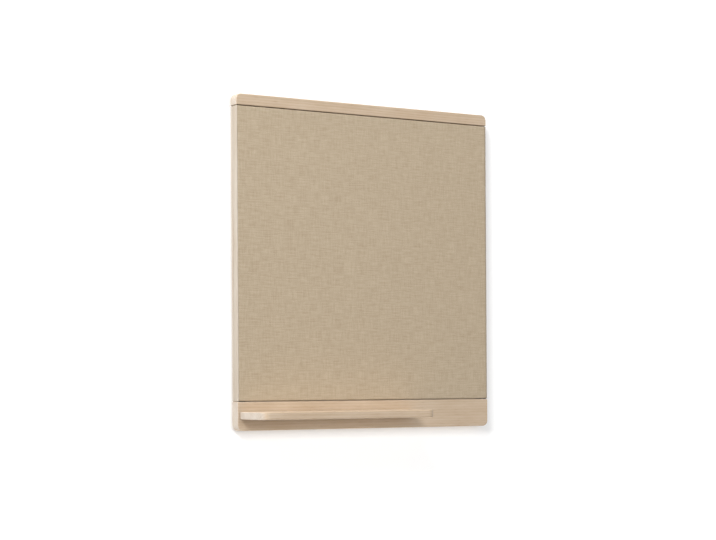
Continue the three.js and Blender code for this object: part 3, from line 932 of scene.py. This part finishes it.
def make_stage(low, high):
    """The wall just behind the board, whose box is between low and high, and the floor below it."""
    material = backdrop(low, high)
    middle = (low + high) / 2
    w, y = WALL_HALF, WALL_GAP
    drop, rise, near = middle.z - FLOOR_DROP, middle.z + w, y - 2 * w
    backdrop_plane("wall", [(-w, y, drop), (w, y, drop), (w, y, rise), (-w, y, rise)], material)
    backdrop_plane("floor", [(-w, near, drop), (w, near, drop), (w, y, drop), (-w, y, drop)], material)


def make_camera():
    """The photograph's camera. It looks out level, and its shift moves the view up or down."""
    across = Vector((math.cos(CAMERA_YAW), -math.sin(CAMERA_YAW), 0))
    ahead = Vector((math.sin(CAMERA_YAW), math.cos(CAMERA_YAW), 0))
    up = Vector((0, 0, 1))
    right = math.cos(CAMERA_ROLL) * across + math.sin(CAMERA_ROLL) * up
    above = math.cos(CAMERA_ROLL) * up - math.sin(CAMERA_ROLL) * across
    data = bpy.data.cameras.new("photo_camera")
    data.sensor_fit = "HORIZONTAL"
    data.sensor_width = SENSOR_WIDTH
    data.lens = SENSOR_WIDTH * FOCAL_PIXELS / IMAGE_WIDTH
    data.shift_y = SHIFT_PIXELS / IMAGE_WIDTH
    made = bpy.data.objects.new("photo_camera", data)
    bpy.context.scene.collection.objects.link(made)
    turn = Matrix((right, above, -ahead)).transposed()
    made.matrix_world = Matrix.Translation(CAMERA_PLACE) @ turn.to_4x4()
    bpy.context.scene.camera = made


def lamp(name, target, towards, distance, size, power):
    """A round soft lamp that faces the target, and that the camera doesn't see."""
    data = bpy.data.lights.new(name, "AREA")
    data.shape = "DISK"
    data.size = size
    data.energy = power
    made = bpy.data.objects.new(name, data)
    bpy.context.scene.collection.objects.link(made)
    made.location = target + Vector(towards).normalized() * distance
    made.rotation_euler = Vector(towards).to_track_quat("Z", "Y").to_euler()
    made.visible_camera = False


def make_world():
    """White to the camera and in reflections. Its light is stronger from behind, as off a white wall."""
    world = bpy.data.worlds.new("studio")
    bpy.context.scene.world = world
    world.use_nodes = True
    nodes = Nodes(world.node_tree)
    way = nodes.node("ShaderNodeTexCoord").outputs["Generated"]
    depth = nodes.node("ShaderNodeSeparateXYZ", {"Vector": way}).outputs["Y"]
    strength = nodes.ranged(depth, (-AMBIENT_TURN, AMBIENT_TURN), AMBIENTS)
    light = nodes.node("ShaderNodeBackground", {"Color": WHITE, "Strength": strength}).outputs[0]
    seen = nodes.node("ShaderNodeBackground", {"Color": WHITE, "Strength": 1.0}).outputs[0]
    path = nodes.node("ShaderNodeLightPath").outputs
    either = nodes.maths("MAXIMUM", path["Is Camera Ray"], path["Is Glossy Ray"])
    shown = nodes.maths("MAXIMUM", either, path["Is Transmission Ray"])
    mix = nodes.node("ShaderNodeMixShader", {"Fac": shown, 1: light, 2: seen}).outputs[0]
    nodes.node("ShaderNodeOutputWorld", {"Surface": mix})


# Assembly

cleat_oak = oak("cleats")
zinc = steel()
wool = felt()

top_rail(oak("top_rail"))
bottom_rail(oak("bottom_rail"))
# The stiles take paler, greyer oak: a painted sheen for the light on the side faces
for node, sign in (("left_stile", -1), ("right_stile", 1)):
    stile(node, sign, oak(node, upright=True, light=OAK_STILE_SHEEN_LIGHT, dark=OAK_STILE_SHEEN_DARK))
shelf(oak("shelf"))
board_cleat(cleat_oak)
wall_cleat(cleat_oak)
back_panel(plywood())
linen_cover(linen())
bumper("left_bumper", wool)
bumper("right_bumper", wool)
screw_sets = ((PANEL_SCREWS, SMALL_SCREW), (CLEAT_SCREWS, CLEAT_SCREW), (SHELF_SCREWS, SHELF_SCREW))
for nodes, sizes in screw_sets:
    for node in nodes:
        screw(node, sizes, zinc)

# The solids that stay as they are get a finer material
kept_finish = {"oak": cleat_oak, "soft_board": soft_board(), "steel": zinc}
for part in frame["record"]["subparts"]:
    solid = frame["nodes"][part["node"]]
    if not solid.hide_render:
        solid.data.materials.clear()
        solid.data.materials.append(kept_finish[part["material_slot"]])

centre = (cad_box[0] + cad_box[1]) / 2
make_camera()
make_stage(*cad_box)
make_world()
for name, settings in LAMPS.items():
    lamp(name, centre, **settings)
bpy.context.scene.view_settings.view_transform = "Standard"
